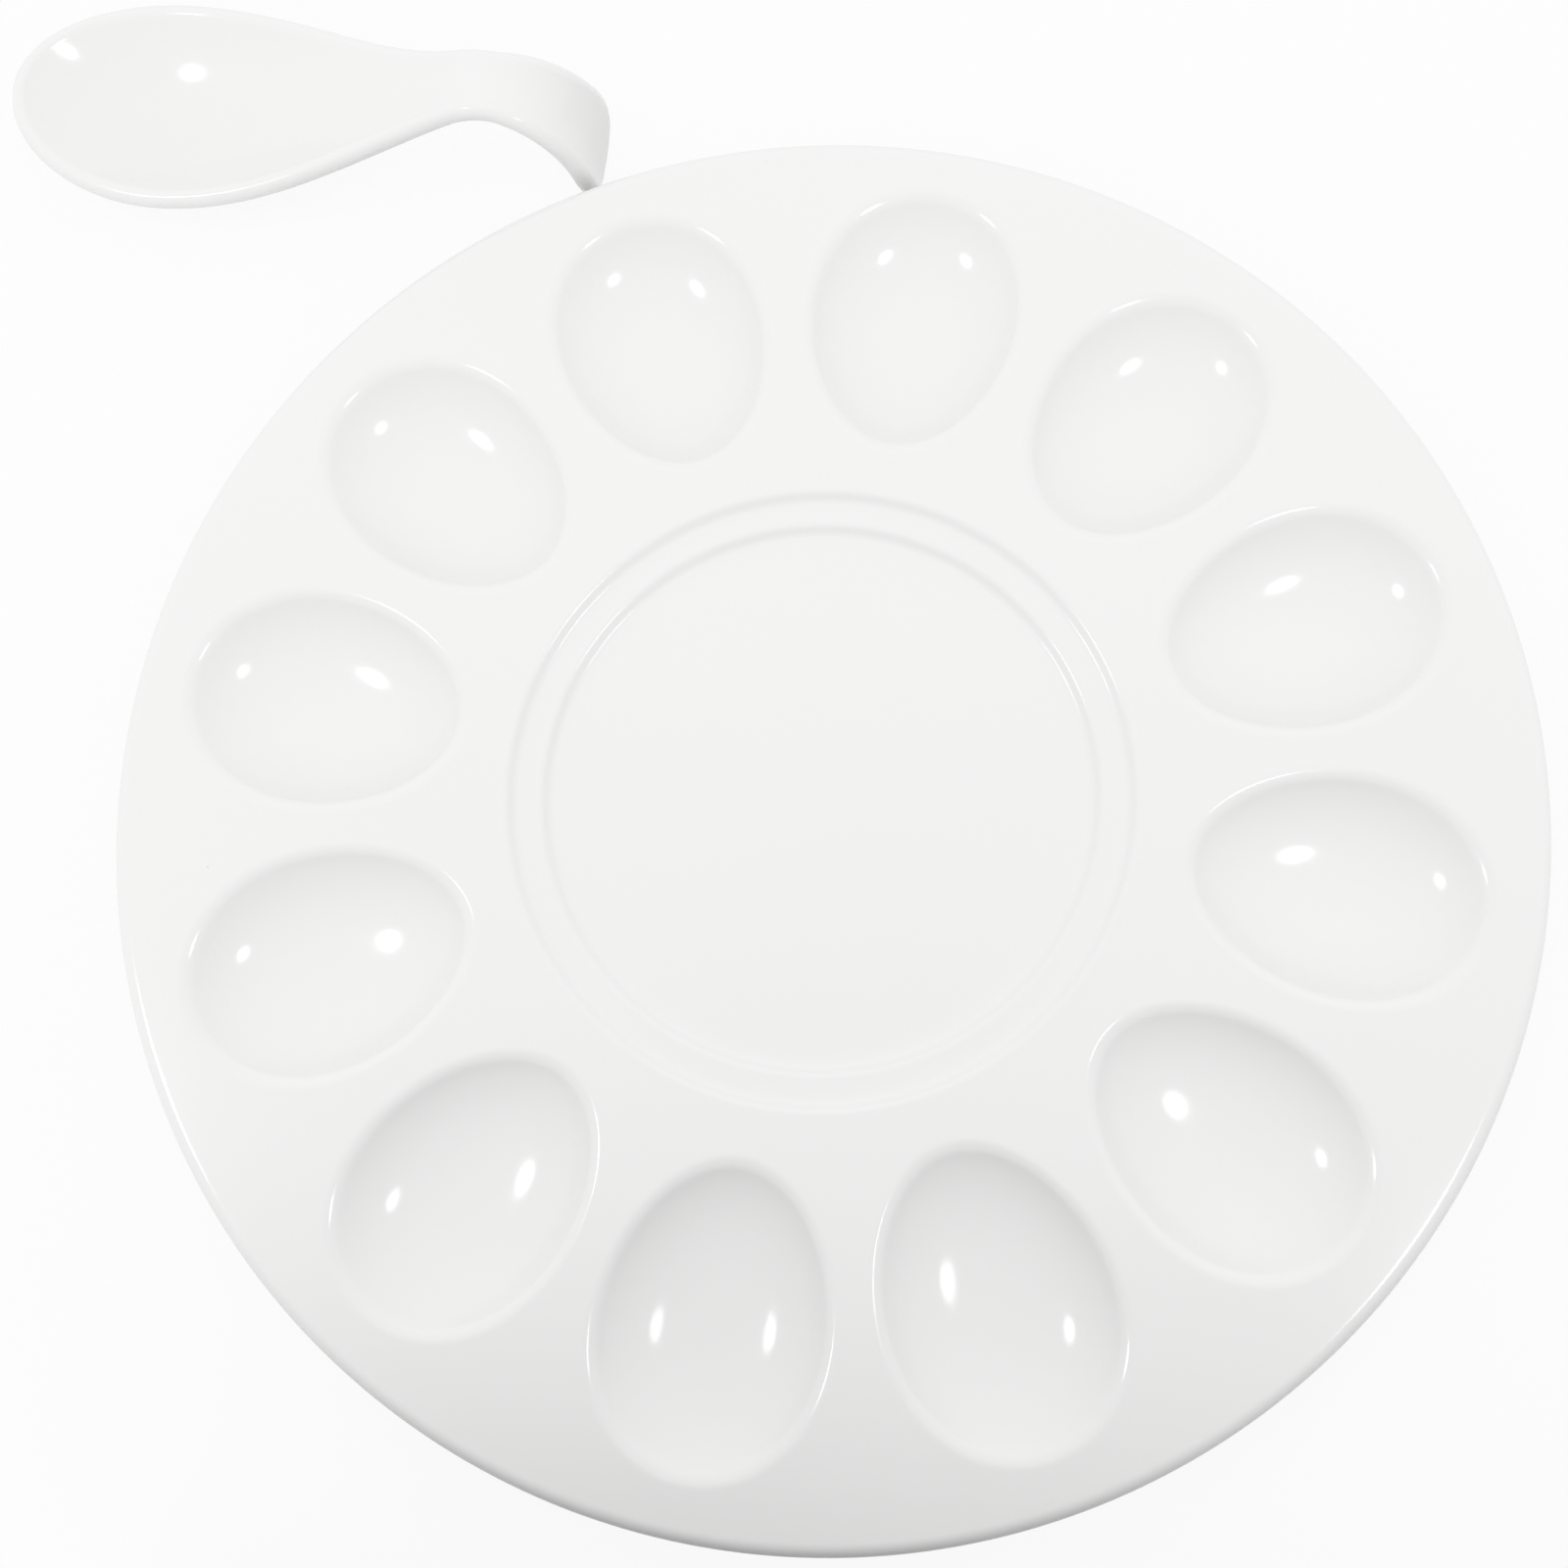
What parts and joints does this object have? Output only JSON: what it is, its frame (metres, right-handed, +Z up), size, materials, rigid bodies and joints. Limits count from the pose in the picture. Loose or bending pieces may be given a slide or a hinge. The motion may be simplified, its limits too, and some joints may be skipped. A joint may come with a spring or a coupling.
{
  "type": "deviled-egg plate",
  "caption": "Round porcelain serving plate with a ring of egg-shaped wells around a stepped dish, and a matching spoon whose handle curls over into a hook.",
  "frame": {"origin": "middle of the dish floor, on its upper face", "axes": "+Z up out of the dish, +Y from the middle towards the well at the back, on the spoon's side"},
  "size_m": [0.307, 0.3982, 0.0337],
  "materials": {
    "porcelain": "glossy white glaze"
  },
  "bodies": {
    "plate": {"egg_plate": "porcelain"},
    "spoon": {"serving_spoon": "porcelain"}
  },
  "joints": [
    {"name": "spoon_lift", "type": "slide", "parent": "plate", "child": "spoon", "axis": [0, 0, 1], "range_m": [0, 0.12]}
  ]
}
